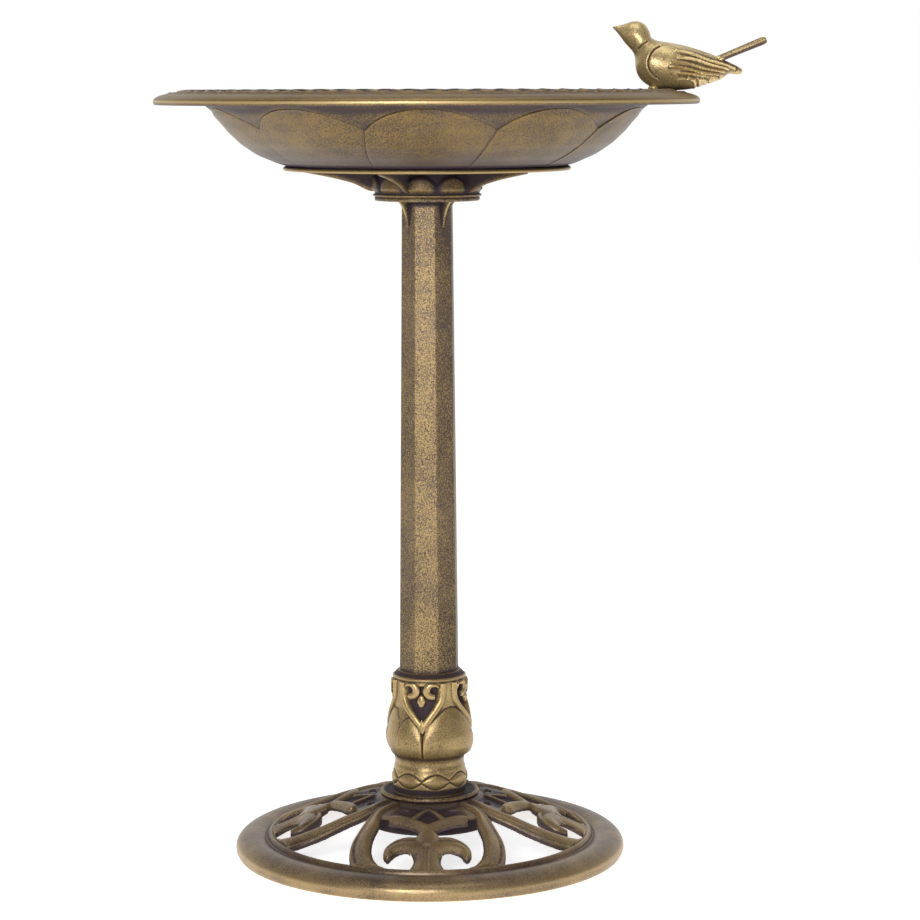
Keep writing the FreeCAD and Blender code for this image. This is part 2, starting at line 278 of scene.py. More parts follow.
def painted(item, rounds, gain, darkness, edge):
    """Stores how raised each point is over its surroundings, and how dark each point is painted: dark
    patina, painted shade, and painted highlight where below 0.
    Shading is smooth, but for edges where the surface turns by more than the edge angle."""
    mesh = item.data
    pairs = rows_of(mesh.edges, "vertices", 2, np.int32)
    co = rows_of(mesh.vertices, "co", 3).astype(float)
    normals = rows_of(mesh.vertex_normals, "vector", 3).astype(float)
    raised = np.einsum("ij,ij->i", co - spread(co, pairs, rounds), normals)
    raised = spread(raised, pairs, 1) * gain / MM
    for name, values in (("raised", raised), ("dark", darkness(co / MM))):
        made = mesh.attributes.new(name, "FLOAT", "POINT")
        made.data.foreach_set("value", np.clip(values, -1, 1).astype(np.float32))
    mesh.polygons.foreach_set("use_smooth", np.ones(len(mesh.polygons), bool))
    mesh.set_sharp_from_angle(angle=math.radians(edge))
    return item


def finish_piece(item, node, body, slot, material):
    item.data.materials.clear()
    item.data.materials.append(material)
    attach(item, body)
    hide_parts(node)


def lofted(name, loops):
    """A closed solid through loops of equally many points, with flat ends."""
    loops = np.asarray(loops)
    rows, columns = loops.shape[:2]
    faces = grid_faces(rows, columns).tolist()
    faces.append(list(range(columns)))
    faces.append(list(range((rows - 1) * columns, rows * columns)))
    return mesh_object(name, loops.reshape(-1, 3), faces)


# ---- Bowl ----

PETALS = 10
PETAL_TURN = 1.8  # turn of the petal nearest the front
EYES = 60  # ovals of the braid round the rim
BRAID_RADIUS = 224.5
BRAID_SWING = 6.4  # how far the two strands part
BRAID_FOOT = -1.1  # floor of the braid, from the rim's top
EYE_DEPTH = 1.7  # how much deeper the ovals' floors are
STRAND_HALF = 2.9  # half of a strand's width
SCALLOP_RADIUS = 238


def petal_slant(height):
    """Degrees that the seams lean to one side below the arches."""
    return np.clip(3 * (FOOT + 39.4 - height) / 31, 0, 3.4)


def petal_side(angle, height):
    """Degrees from the middle of the nearest petal."""
    return wrap(angle - PETAL_TURN + petal_slant(height), 360 / PETALS)


def petal_arch(side):
    """Height of a petal's arched top, with a fuller shoulder on its left side."""
    share = np.minimum(np.abs(side) * PETALS / 180, 1)
    return FOOT + 57.8 - 18.5 * share ** np.where(side < 0, 2.7, 1.5)


def petal_relief(side, height, on_petal):
    """Petals laid over each other like scales, each one's left edge on top."""
    share = side * PETALS / 180
    foot_fade = ramp(height, FOOT + 4.5, FOOT + 18)
    lap = 0.8 * (0.5 - share / 2) * (0.4 + 0.6 * foot_fade)
    below_arch = np.clip((petal_arch(side) - height) / 16, 0, 1)
    crown = 0.9 * (1 - share ** 2) * foot_fade * below_arch
    return np.where(on_petal, 0.3 + lap + crown, 0) - 0.4


def petal_rows(wall, side):
    """Radius and height of the wall's points, with one row of points along the petals' arched tops."""
    place = lengths_along(wall)
    arch = np.interp(petal_arch(side), wall[:, 1], place)
    count = len(wall)
    below = int(count * 0.78)
    low = np.linspace(0, 1, below)[:, None] * (arch - 0.3)
    high = (arch + 0.3) + np.linspace(0, 1, count - below)[:, None] * (place[-1] - arch - 0.3)
    at = np.concatenate([low, high])
    on_petal = np.arange(count)[:, None] < below
    return np.interp(at, place, wall[:, 0]), np.interp(at, place, wall[:, 1]), on_petal


def strand(angle, radius, side):
    """Height of one strand of the braid, which passes over and under the other in turn."""
    turn = np.radians(angle * EYES / 2)
    middle = BRAID_RADIUS + side * BRAID_SWING * np.sin(turn)
    slope = BRAID_SWING * (EYES / 2) * np.cos(turn) / BRAID_RADIUS
    distance = (radius - middle) / np.sqrt(1 + slope ** 2)
    crest = 0.5 + 0.5 * side * np.cos(turn)
    return np.where(np.abs(distance) < STRAND_HALF, crest + 1.5 * bump(distance, 3.1) - 1.4, -9)


def braid_place(angle):
    """How far the strands are apart, 0 to 1, and 1 in the notches of the rim's inner edge beside the
    places where they cross."""
    turn = np.radians(angle * EYES / 2)
    return np.abs(np.sin(turn)), ramp(np.abs(np.cos(turn)), 0.45, 0.66)


def braid_relief(angle, radius):
    """Band of eyes round the top of the rim, with a scalloped line outside it."""
    swing, notch = braid_place(angle)
    reach = BRAID_SWING * swing
    in_eye = ramp(reach - np.abs(radius - BRAID_RADIUS), 0.5, 2.2)
    floor = BRAID_FOOT - EYE_DEPTH * in_eye
    band = np.maximum(floor, np.maximum(strand(angle, radius, 1), strand(angle, radius, -1)))
    edge = ramp(radius, 211.5, 213.5) * ramp(radius, 236, 234)
    scallop = 0.9 * bump(radius - SCALLOP_RADIUS - 1.5 * swing, 1.8)
    return edge * band + (1 - edge) * scallop - 2.8 * notch * bump(radius - 211, 6.5)


WALL = [(131, 4.2), (140, 7.1), (148, 10.8), (155.8, 14.4), (162.4, 18.4), (167.5, 21.9), (172.6, 25.4),
        (177, 29.4), (181, 33.2), (185, 37), (188, 40.4), (191.5, 44.4), (195, 48), (198, 51.4),
        (201, 55.4), (205.8, 59.2)]


def bowl_profile():
    """The bowl's section, from under the middle of its foot, over the rim to the inside floor."""
    return chain(
        (0, FOOT),
        (9, FOOT, [(124, 0)]),
        (2.4, FOOT, [(133.4, 0)]),
        (0.8, FOOT, [(134.5, 1.7), (133.4, 3.4)]),
        (1.2, FOOT, WALL[:1]),
        (1.75, FOOT, WALL[1:]),
        (2, RIM_TOP, [(207.6, -9.4), (212.5, -6)]),
        (5, RIM_TOP, [(235, -6)]),
        (1.8, RIM_TOP, [(243, -7.8), (249.4, -12.4)]),
        (0.8, RIM_TOP, [(251.4, -12.9), (253.4, -12), (254, -10.2)]),
        (0.8, RIM_TOP, [(253.8, -8.6), (252.6, -6.8)]),
        (1.25, RIM_TOP, [(249.4, -5), (244, -3.3), (238, -2), (232, -0.9), (226, -0.2), (218, 0),
                         (211, -0.3), (207, -1.6), (204.6, -4.4)]),
        (4, FOOT, [(202, 61.6), (191.2, 50), (176.4, 34.4), (160.2, 22), (138, 10.4), (122, 4.4)]),
        (12, FOOT, [(0, 4.4)]),
    )


def bowl_darkness(co):
    """Painted shade in the seams of the petals and along their arches, under the rim, round the foot and
    in the braid's eyes, and painted highlight on the lip.
    """
    radius, angle, height = polar(co)
    rise, over_rim = height - FOOT, height - RIM_TOP
    side = petal_side(angle, height)
    past_arch = height - petal_arch(side)
    # Painted shade: thin shadow lines along the petals' arches and seams, under the rim and round the
    # foot; the spandrels above the arches and the wall towards the foot are darker too.
    arch_shadow_line = 0.36 * bump(past_arch - 0.35, 0.9)
    seam_shadow_line = 0.3 * (side > 180 / PETALS - 0.3) * (past_arch < 0)
    spandrel = 0.3 * ramp(past_arch, 0.5, 4)
    under_rim = 0.5 * ramp(rise, 52, 60)
    low = 0.52 * ramp(rise, 34, 8)
    foot_shadow_line = ramp(rise, 8, 5.4)
    wall = np.array(WALL)
    outside = (rise > 4) & (rise < 62) & (radius > 130)
    outside &= radius > np.interp(rise, wall[:, 1], wall[:, 0]) - 1.6
    marks = np.max([arch_shadow_line, seam_shadow_line, under_rim, foot_shadow_line], axis=0)
    on_wall = np.where(outside, marks + spandrel + low, 0)
    # Painted shade under the foot, in its groove and under the lip.
    under = (rise < 0.6) & (radius < 133)
    groove = (rise > 3.2) & (rise < 6) & (radius < 134) & (radius > 128)
    lip_under = 0.8 * ((over_rim < -5.4) & (radius > 206) & (radius < 243.5))
    lip_back = 0.8 * ((over_rim < -9) & (radius > 206) & (radius < 250))
    # Painted shade in the braid's eyes, in the notches of the rim's inner edge and along the scallop.
    swing, notch = braid_place(angle)
    eye = ramp(BRAID_SWING * swing - np.abs(radius - BRAID_RADIUS), 1.2, 3.4)
    notch = notch * ramp(radius, 227, 224)
    scallop = 0.7 * bump(radius - SCALLOP_RADIUS + 3 - 1.5 * swing, 2.2)
    on_rim = np.where(over_rim > -6.6, np.max([eye, notch, scallop], axis=0), 0)
    # Painted highlight, as negative darkness: a sheen on the lip's outer slope and a line along its
    # lower edge.
    painted_slope_sheen = 0.3 * ramp(radius, 238, 242) * (over_rim > -8)
    painted_lip_highlight = 1.2 * bump(over_rim + 9.4, 1.9) * (radius > 252)
    dark = np.max([on_wall, under, groove, lip_under, lip_back, on_rim], axis=0)
    return dark - painted_lip_highlight - painted_slope_sheen


def bowl():
    profile, part = bowl_profile()
    wall, foot, rim = part == 4, part < 4, part == 10
    columns = 900
    degrees = (np.arange(columns) + 0.5) * 360 / columns
    angle, radius, height = rings(profile, degrees)
    side = wrap(degrees, 360 / PETALS)
    beside_seam = np.abs(side) > 180 / PETALS - 0.3
    shift = np.where(beside_seam, 0.13 * np.sign(side), 0)
    on_petal = np.zeros(radius.shape, bool)
    radius[wall], height[wall], on_petal[wall] = petal_rows(profile[wall], side)
    angle = angle + np.where(wall[:, None], PETAL_TURN - petal_slant(height) + shift, 0)
    foot_turn = (PETAL_TURN - 3.4) * np.minimum(profile[:, 0] / 124, 1)
    angle = angle + np.where(foot, foot_turn, 0)[:, None]
    lift = np.where(wall[:, None], petal_relief(side + shift, height, on_petal), 0)
    lift = lift + np.where(rim[:, None], braid_relief(angle, radius), 0)
    item = ring_mesh("bowl_shell", angle, *lifted(lift, profile, radius, height))
    return painted(item, 7, 1.3, bowl_darkness, 40)


# ---- Bowl's support ----

FINS = 5
FIN_TURN = -21
LOBES = 10
LOBE_TURN = -7


def lobe_side(angle):
    """-1 to 1 across each lobe of the drum."""
    return wrap(angle - LOBE_TURN, 360 / LOBES) * LOBES / 180


def lobe_top(side):
    """Height of the lobes' upper edge."""
    return CAP_TOP + 21 - 9 * np.abs(side) ** 2.2


def lobe_relief(angle, height):
    """Ten rounded lobes round the drum, over a plain ring."""
    side = lobe_side(angle)
    inside = ramp(lobe_top(side) - height, -1, 4) * ramp(height, CAP_TOP + 3.4, CAP_TOP + 7.5)
    return inside * (3 * np.sqrt(np.maximum(1 - side ** 2, 0)) + 0.3) - 2


FIN_EDGE = [(44, -19.8), (55, -19.4), (60, -17.1), (67, -13.6), (80, -9.7), (96.6, -6),
            (108, -3.9), (118, -2)]


def fin_edge():
    return smooth_path([(radius, FOOT + rise) for radius, rise in FIN_EDGE], 1.6)


def fin(number):
    """Thin bracket with a rounded, hollow lower edge."""
    rim = [(-1.6, 1.4), (-1.1, 0.4), (0, 0), (1.1, 0.4), (1.6, 1.4)]
    shares = np.array([0.08, 0.2, 0.4, 0.7, 1])
    loops = []
    for radius, height in fin_edge():
        rises = [(side, min(rise, FOOT - height)) for side, rise in rim]
        start = rises[0][1]
        wall = start + shares * (FOOT + 0.4 - height - start)
        across = [(-1.6, rise) for rise in wall[::-1]] + rises + [(1.6, rise) for rise in wall]
        loops.append([(side, -radius, height + rise) for side, rise in across])

    def darkness(co):
        edge = fin_edge()
        radius, _, height = polar(co)
        # Dark paint and painted shade on the fin's sides, rising from its lower edge towards the bowl.
        return 0.85 * ramp(height - np.interp(radius, edge[:, 0], edge[:, 1]), 0.9, 6)

    placed = turned(np.array(loops).reshape(-1, 3), FIN_TURN + 360 * number / FINS)
    item = lofted("fin_%d" % (number + 1), placed.reshape(len(loops), -1, 3))
    return painted(item, 2, 1, darkness, 42)


def bowl_support():
    profile, part = chain(
        (43.1, CAP_TOP),
        (1, CAP_TOP, [(49.6, 0)]),
        (0.8, CAP_TOP, [(50.8, 0.8), (51, 2)]),
        (0.8, CAP_TOP, [(50.6, 13), (49.6, 20), (49, FOOT - CAP_TOP)]),
        (2, FOOT, [(43.1, 0)]),
        (3, CAP_TOP, [(43.1, 0)]),
    )
    on_drum = (part == 2)[:, None]

    def relief(angle, radius, height):
        return np.where(on_drum, lobe_relief(angle, height), 0)

    def darkness(co):
        radius, angle, height = polar(co)
        # Dark paint and painted shade above the lobes, under the bowl's foot, and in the gaps between
        # them; the plain ring below is half dark and the inside dark.
        side = lobe_side(angle)
        above_lobe = ramp(height - lobe_top(side), -7, -1)
        gap = ramp(np.abs(side) + 0.3 * ramp(height, CAP_TOP + 8, CAP_TOP + 20), 0.55, 0.95)
        on_lobe = np.where(height > CAP_TOP + 4.2, np.maximum(above_lobe, gap), 0.5)
        return np.maximum(on_lobe, radius < 46)

    return painted(revolved("bowl_drum", profile, 540, relief, close=True), 6, 1.4, darkness, 42)


# ---- Column ----

GUSSET_FOOT = COLUMN_HIGH - 40  # lower tips of the four ribs under the plate
PLATE_UNDERSIDE = CAP_TOP - 3.8
CORNER_POWER = 70  # how sharp the octagon's corners are


def octagon_factor(angle):
    """Radius of a soft-cornered octagon, for a distance of 1 from its middle to its facets."""
    total = 0
    for facet in range(8):
        lean = np.maximum(np.cos(np.radians(angle - COLUMN_TURN - 45 * facet)), 0)
        total = total + lean ** CORNER_POWER
    return total ** (-1 / CORNER_POWER)


def gusset_reach(height):
    """Radius of the ribs' outer edges."""
    rises = np.array([-1, 0, 9, 17.5, 22, PLATE_UNDERSIDE - GUSSET_FOOT])
    return np.interp(height, GUSSET_FOOT + rises, [20, 24.2, 25.6, 29, 32.4, 35.2])


def from_rib(angle, radius):
    """Distance to the nearest rib, round the column."""
    return np.abs(np.radians(wrap(angle - COLUMN_TURN - 45, 90)) * radius)


def column():
    shaft_foot = COLLAR_HIGH - 27
    profile, part = chain(
        (0, COLUMN_LOW),
        (8, COLUMN_LOW, [(23, 0)]),
        (12, shaft_foot, [(23, 0)]),
        (2, shaft_foot, [(27.4, 0)]),
        (4.5, GUSSET_FOOT, [(23.3, -2)]),
        (1, PLATE_UNDERSIDE, [(23.05, 0)]),
        (1.5, PLATE_UNDERSIDE, [(48.4, 0)]),
        (0.5, PLATE_UNDERSIDE, [(49.1, 0.8), (49.1, 2.8), (48.2, 3.8)]),
        (1.6, CAP_TOP, [(43, 0)]),
        (3, COLUMN_HIGH, [(43, 0)]),
        (9, COLUMN_HIGH, [(0, 0)]),
    )
    angle, radius, height = rings(profile, np.arange(360))
    on_shaft = ((part == 3) | (part == 4))[:, None]
    radius = np.where(on_shaft, radius * octagon_factor(angle), radius)
    ribs = (from_rib(angle, radius) < 1.15) & on_shaft
    radius = np.where(ribs, np.maximum(radius, gusset_reach(height)), radius)

    def darkness(co):
        radius, angle, height = polar(co)
        # Dark paint and painted shade beside the ribs and under the plate, and painted shade on the side
        # facets, which the front lamp lights less.
        between = from_rib(angle, radius) - 1.3
        reach = 3 + 5 * ramp(height, GUSSET_FOOT, PLATE_UNDERSIDE)
        beside = ramp(between, reach, 0.25 * reach) * (between > 0) * (height > GUSSET_FOOT + 2)
        under = ramp(height, PLATE_UNDERSIDE - 7, PLATE_UNDERSIDE - 2)
        shaft = height < PLATE_UNDERSIDE + 0.3
        rib = (between <= 0) & (height > GUSSET_FOOT)
        foot = 0.7 * ramp(height, COLLAR_HIGH + 6, COLLAR_HIGH - 2)
        turn = wrap(angle - COLUMN_TURN, 360)
        sides = 0.2 * ramp(np.abs(turn), 20.5, 24.5) + 0.12 * bump(turn - 70, 60)
        dark = np.max([beside * shaft, under * shaft, foot + sides * shaft, 0.45 * ~shaft], axis=0)
        return np.where(rib, 0.15, dark)

    return painted(ring_mesh("column_tube", angle, radius, height), 4, 3, darkness, 38)


# ---- Collar ----

V_MIDDLE = -12  # turn of the V nearest the front, and of the crossing under it


def v_band_height(across, rise):
    """Two arms that meet in a V, with a volute in the corner of each and a drop between them, and
    the recess behind these."""
    arm_line = [(21, 112), (20.8, 101.5), (19.4, 94), (15, 86.5), (9, 79.4), (3.4, 72.6), (0, 68)]
    away = curve_distance(across, rise, arm_line)
    arm = np.where(away < 3.1, 2 * (1 - (away / 3.9) ** 2), -9)
    inner = np.interp(rise, [72.4, 84.5, 93.5, 101.5, 110], [0, 9.6, 15.3, 16.8, 17.2])
    between = ramp(inner - across, -0.3, 0.9)
    recess = between * (rise > 72) * ramp(rise, 108.2, 106.6)
    out = np.hypot(across - 9.9, rise - 103.1) / 8.3
    eye = np.hypot((across - 12.9) / 4.3, (rise - 103.8) / 3.3)
    mouth = (across > 13.2) & (rise < 103.8)
    inside = (out < 1) & (eye > 1) & ~mouth
    near_edge = np.minimum((1 - out) * 8.3, (eye - 1) * 3.6)
    volute = np.where(inside, 0.3 + 1.9 * np.sqrt(np.clip(near_edge / 2.6, 0, 1)), -9)
    drop = 1 - (across / 4) ** 2 - (np.abs(rise - 93.4) / 6) ** 1.4
    drop = np.where(drop > 0, 2.2 * np.sqrt(np.maximum(drop, 0)) - 0.2, -9)
    knot = 1 - np.abs(across) / 4.4 - np.abs(rise - 69.5) / 7.4
    knot = np.where(knot > 0, 1 + 1.6 * knot, -9)
    return np.max([arm, volute, drop, knot], axis=0), recess


def petal_outline(angle):
    """How far up the collar the petals' upper edges are."""
    wide = np.interp(np.abs(wrap(angle - 36, 180)), [0, 6, 12, 24, 36, 41, 44.5, 46],
                     [86.5, 86, 84.6, 79, 72.5, 68.5, 60, 40])
    pair = wrap(angle + 54, 180)
    near = np.interp(pair, [3, 5, 8, 12, 18, 24, 31, 38, 42, 44.5, 46],
                     [40, 56, 66, 71.5, 75.5, 77.2, 74, 69.5, 66, 60, 40])
    far = np.interp(pair, [-46, -44.5, -40, -30, -16, -4, 4, 8], [40, 60, 69, 76, 84, 83, 74, 40])
    return wide, near, far


def collar_relief(angle, radius, rise):
    """Petals with a V band between them, and a ring of ovals below."""
    lean = 3 * ramp(rise, 92, 62)
    side = wrap(angle - V_MIDDLE - lean, 90)
    across = np.abs(np.radians(side)) * radius
    petal_zone = ramp(rise, 36, 42) * ramp(rise, 112, 110.5)
    wide, near, far = petal_outline(angle)
    leaf = -1.3 + 0 * radius
    for outline, crown in ((wide, 2.5), (far, 0.2), (near, 2.4)):
        inside = outline - rise
        dome = crown * np.sqrt(np.clip(inside / 11, 0, 1)) - 0.4
        leaf = np.where(inside > 0, np.maximum(leaf, dome), leaf)
        leaf = leaf - 1.5 * bump(inside + 0.9, 1.4) * (outline > 58)
    seam = -1.8 * bump(np.radians(wrap(angle + 9, 90)) * radius, 1.6) * (rise < 66)
    shield = 0.5 * ramp(rise, 84, 90)
    body = np.maximum(leaf + seam, shield - 1)
    raised, recess = v_band_height(across, rise)
    upper = petal_zone * np.maximum(body - 2.9 * recess, raised)
    low = wrap(angle - V_MIDDLE - 22.5, 45) / 22.5
    over = rise - 15
    half = 6.6 * (1 - np.abs(low) ** 1.9)
    outside = np.abs(over) - half
    oval = 1.7 * np.sqrt(np.clip(1 - (over / np.maximum(half, 0.3)) ** 2, 0, 1))
    ribbon = 0.9 * ramp(outside, 0.4, 1.6)
    oval_zone = ramp(rise, 6, 8) * ramp(rise, 29, 25)
    lower = oval_zone * (np.maximum(oval, ribbon) - 0.4)
    return upper + lower


def collar():
    up = COLLAR_LOW
    profile, part = chain(
        (27, up),
        (3, up, [(34.5, 0)]),
        (1, up, [(34.5, 5.9)]),
        (0.75, up, [(34.9, 8.9), (35.2, 13.4), (34.9, 18.4), (33.7, 23.8), (33.2, 27.9), (33.1, 32.4),
                    (33.8, 35.2), (37, 39.6), (40.3, 47.2), (40.9, 54.4), (39.4, 65.4), (37.3, 76.9),
                    (35.2, 88.4), (34.7, 97.4), (34.9, 106.8), (34.8, 109.8)]),
        (0.5, up, [(34.3, 111.3), (34.5, 112.2), (35.1, 112.9), (34.9, 113.9), (34, 114.4),
                   (31.6, 116.8), (29.6, 118.7)]),
        (1.5, COLLAR_HIGH, [(26.4, 0)]),
        (8, up, [(27, 0)]),
    )
    on_body = (part == 2)[:, None]

    def relief(angle, radius, height):
        return np.where(on_body, collar_relief(angle, radius, height - up), 0)

    def darkness(co):
        radius, angle, height = polar(co)
        rise = height - up
        relief_here = collar_relief(angle, np.full(len(co), 37), rise)
        low = ramp(-relief_here, 0.6, 2.2) * (rise > 42) * (rise < 110)
        lines = 0.7 * ramp(-relief_here, -0.1, 0.4) * (rise < 26)
        for outline in petal_outline(angle):
            edge = 0.6 * bump(outline - rise + 0.7, 1.5) * (outline > 58)
            lines = np.maximum(lines, edge * (relief_here < 0.6))
        foot = ramp(rise, 8.5, 5.5)
        # Painted shade in the waist between the ring of ovals and the petals.
        neck = 0.6 * bump(rise - 38, 6)
        groove = 0.9 * bump(rise - 111.2, 0.9)
        shoulder = 0.9 * ramp(rise, 114.2, 115.2)
        inside = 0.8 * (radius < 28)
        return np.max([low, lines, foot, neck, groove, shoulder, inside], axis=0)

    return painted(revolved("collar_vase", profile, 400, relief, close=True), 7, 2.2, darkness, 50)


def foot_flange():
    up = HUB_TOP
    profile = chain(
        (5, up),
        (2, up, [(45.6, 0)]),
        (0.5, up, [(47.1, 1.2), (47.3, 2.6), (46.6, 4.4), (45.8, 4.8), (45, 4.5)]),
        (0.8, up, [(42.8, 3.4), (40, 2.8), (36.5, 2.6)]),
        (2, up, [(26.9, 2.6)]),
        (4, up, [(26.9, 28)]),
        (3, up, [(5, 28)]),
        (6, up, [(5, 0)]),
    )[0]

    def darkness(co):
        radius, _, height = polar(co)
        # Dark paint and painted shade inside the saucer's rim and along its bottom.
        return np.maximum(0.86 * ramp(radius, 45.2, 42.5), 0.8 * (height < up + 2))

    return painted(revolved("flange_saucer", profile, 300, close=True), 4, 1.2, darkness, 40)


# ---- Base ----

UNITS = 4  # scrolls of the openwork
SHEET = 8  # depth of the openwork
SKIRT = 60  # outer radius of the hub's skirt


def dome_height(radius):
    """Top of the domed openwork."""
    drop = [0, 0, -0.8, -4.5, -13, -23, -35.5, -38]
    return HUB_TOP + np.interp(radius, [0, 54, 60, 75, 100, 125, 151, 156], drop)


def smooth_dome(radius):
    """The dome's height without the corners of its straight stretches."""
    return sum(dome_height(np.maximum(radius + shift, 0)) for shift in (-6, -3, 0, 3, 6)) / 5


def base_ring():
    """Hollow ring with a groove and a bead inside it."""
    inward = chain(
        (5.5, 0),
        (1.2, 0, [(2.6, 0)]),
        (1, 0, [(0.5, 3.6), (0, 7.5), (1, 11.4), (3.5, 14.5), (7.5, 17.2), (14, 19.1), (20, 19.2),
                (25.4, 17.6), (28.3, 16)]),
        (0.6, 0, [(29.6, 16.4), (31, 19.2), (32.4, 20.9), (33.6, 21.2), (34.9, 20.5), (36.2, 18.2)]),
        (1.5, 0, [(36.4, 11)]),
        (3, 0, [(33, 11), (26, 12.6), (18, 14.3), (12, 13.4), (6.4, 10), (5.5, 0)]),
    )[0]
    profile = inward * (-1, 1) + (RING_EDGE, 0)

    def darkness(co):
        radius, _, height = polar(co)
        inset = RING_EDGE - radius
        # Painted shade in the groove and inside the ring; the top is darker too.
        groove = 0.6 * bump(inset - 28.4, 1.6)
        top = 0.26 * ramp(height, 12.5, 18)
        # Painted highlight: more gold in a band round the outer roll.
        rubbed_and_highlight = 0.4 * bump(height - 8.5, 6) * (inset < 6)
        inner = 0.6 * ((inset > 35.6) | (inset > 30) & (height < 15))
        return np.max([groove, top, inner], axis=0) - rubbed_and_highlight

    return painted(revolved("base_ring", profile, 720, close=True), 8, 1.1, darkness, 50)


def band(name, left, right, section):
    """A band of the openwork between two edge lines in plan. The section is its height across."""
    count = max(8, int(max(lengths_along(line)[-1] for line in (left, right)) / 1.6))
    lines = []
    for line in (left, right):
        dense = smooth_path(line, 0.2)
        lines.append(dense[np.linspace(0, len(dense) - 1, count).round().astype(int)])
    share, rise = np.array(section).T
    loops = []
    for a, b in zip(*lines):
        plan = a + (b - a) * share[:, None]
        ground = smooth_dome(np.hypot(plan[:, 0], plan[:, 1]))
        top = np.column_stack([plan[:, 0], -plan[:, 1], ground + rise])
        middle = smooth_dome(np.hypot(*((a + b) / 2)))
        under = middle - SHEET + 0.6
        low = np.array([[b[0], -b[1], under], [a[0], -a[1], under]])
        loops.append(np.concatenate([top, low]))
    return lofted(name, loops)


def mirrored(line):
    return [(-x, y) for x, y in line]


def both_sides(name, left, right, section):
    return [band(name, left, right, section), band(name, mirrored(left), mirrored(right), section)]


def middle_band(name, left, section):
    return [band(name, left, mirrored(left), section)]


def legs():
    """Two grooved legs from the hub to the ring, with their feet turned in along the bead."""
    section = [(0, -3.2), (0.05, -1.6), (0.11, -1.3), (0.18, -3.6), (0.25, -1.2), (0.36, 0.2),
               (0.48, 0.9), (0.6, 1.1), (0.7, 0.7), (0.8, -0.4), (0.89, -1.9), (0.95, -3.2), (1, -4.4)]
    outer = [(33, 35), (52.4, 53.1), (63.8, 78.4), (71, 99.7), (72.4, 115.5), (70.6, 131.8)]
    inner = [(28, 44), (43.9, 63.7), (45.6, 79.5), (50.6, 99.7), (51.2, 117.7), (46.6, 132.6),
             (38, 143.5)]
    parts = both_sides("leg", outer, inner, section)
    foot_outer = [(70, 132), (48, 142.4), (20, 149.2), (8, 150.4)]
    foot_inner = [(49.5, 127), (41, 140), (30, 146), (15, 147)]
    low = [(0, -3), (0.3, -0.9), (0.5, -0.4), (0.8, -1.2), (1, -3.6)]
    return parts + both_sides("foot", foot_outer, foot_inner, low)


def horns():
    """The scroll's two curled horns."""
    section = [(0, -3.4), (0.06, -1.3), (0.13, -1), (0.2, -3), (0.28, -0.5), (0.4, 0.6), (0.52, 1),
               (0.66, 0.5), (0.8, -0.8), (0.92, -2.4), (1, -4.2)]
    outer = [(4, 106.4), (13, 103), (22.5, 103), (33.7, 108.8), (40.5, 119.4), (40, 127.8),
             (36.8, 132.2)]
    inner = [(4, 131), (11.6, 131), (18.6, 126.6), (26, 124.6), (31, 126.2), (33.6, 129.4),
             (35.8, 131.6)]
    return both_sides("horn", outer, inner, section)


def stem():
    """Split stem from the bead up between the horns, and the raised block over it."""
    section = [(0, -4), (0.08, -2.2), (0.2, -0.8), (0.34, 0.1), (0.44, -0.1), (0.485, -1.1),
               (0.515, -1.1), (0.56, -0.1), (0.66, 0.1), (0.8, -0.8), (0.92, -2.2), (1, -4)]
    left = [(-11.6, 117), (-13.2, 127), (-12.8, 137), (-17, 146.5), (-19, 152)]
    block = [(0, -4.4), (0.1, -1), (0.22, 1), (0.4, 1.6), (0.6, 1.6), (0.78, 1), (0.9, -1), (1, -4.4)]
    block_left = [(-5, 97.5), (-8.4, 98.8), (-12.8, 107.6), (-12.2, 114), (-8, 119.5)]
    return middle_band("stem", left, section) + middle_band("block", block_left, block)


def chevron():
    """Chevron across the hub's edge, with a ridged diamond above it."""
    section = [(0, -4.6), (0.07, -1.6), (0.18, 0.5), (0.34, 1.6), (0.5, 2), (0.66, 1.6), (0.82, 0.5),
               (0.93, -1.6), (1, -4.6)]
    upper = [(-1, 101), (13, 91.5), (27, 83.2), (34.2, 79.6), (37.2, 74.6)]
    lower = [(-1, 87), (10, 79), (23, 70.6), (30.5, 68.2), (36.6, 72)]
    ridge = [(0, -6), (0.2, -2.6), (0.5, -1.4), (0.8, -2.6), (1, -6)]
    ridge_upper = [(-1.5, 57.5), (5, 66), (10.5, 76)]
    ridge_lower = [(-1.5, 49), (9.5, 61), (18, 72)]
    chevrons = both_sides("chevron", upper, lower, section)
    return chevrons + both_sides("ridge", ridge_upper, ridge_lower, ridge)


def hub_sheet():
    """Thin floor of the hub between the legs, behind the chevron."""
    section = [(0, -3.4), (0.03, -2), (0.1, -2.4), (0.5, -5.4), (0.9, -2.4), (0.97, -2), (1, -3.4)]
    left = [(-30, 40), (-42, 56), (-46, 65.5), (-37, 70), (-28, 74.5), (-14, 82), (-4, 88)]
    return middle_band("sheet", left, section)


def slots():
    """Cutters for the two small slots through the hub's sheet."""
    cutters = []
    for side in (-1, 1):
        loops = []
        for height in (HUB_TOP - 20, HUB_TOP + 12):
            turn = np.radians(np.arange(0, 360, 20))
            x = side * (24 + 6.6 * np.cos(turn) + 1.5 * np.sin(turn))
            y = 55.5 + 3.6 * np.sin(turn)
            loops.append(np.column_stack([x, -y, np.full(len(turn), height)]))
        cutters.append(lofted("slot", loops))
    return cutters


def hub():
    """Disc under the flange, with a skirt."""
    profile = chain(
        (0, HUB_TOP - SHEET),
        (8, HUB_TOP, [(52, -SHEET)]),
        (4, HUB_TOP, [(56.5, -11)]),
        (4, HUB_TOP, [(56.5, -28)]),
        (2, HUB_TOP, [(SKIRT, -28)]),
        (3, HUB_TOP, [(SKIRT, -9)]),
        (2, HUB_TOP, [(54, -5), (50, -1.6), (47, 0)]),
        (8, HUB_TOP, [(0, 0)]),
    )[0]
    return revolved("base_openwork", profile, 240)


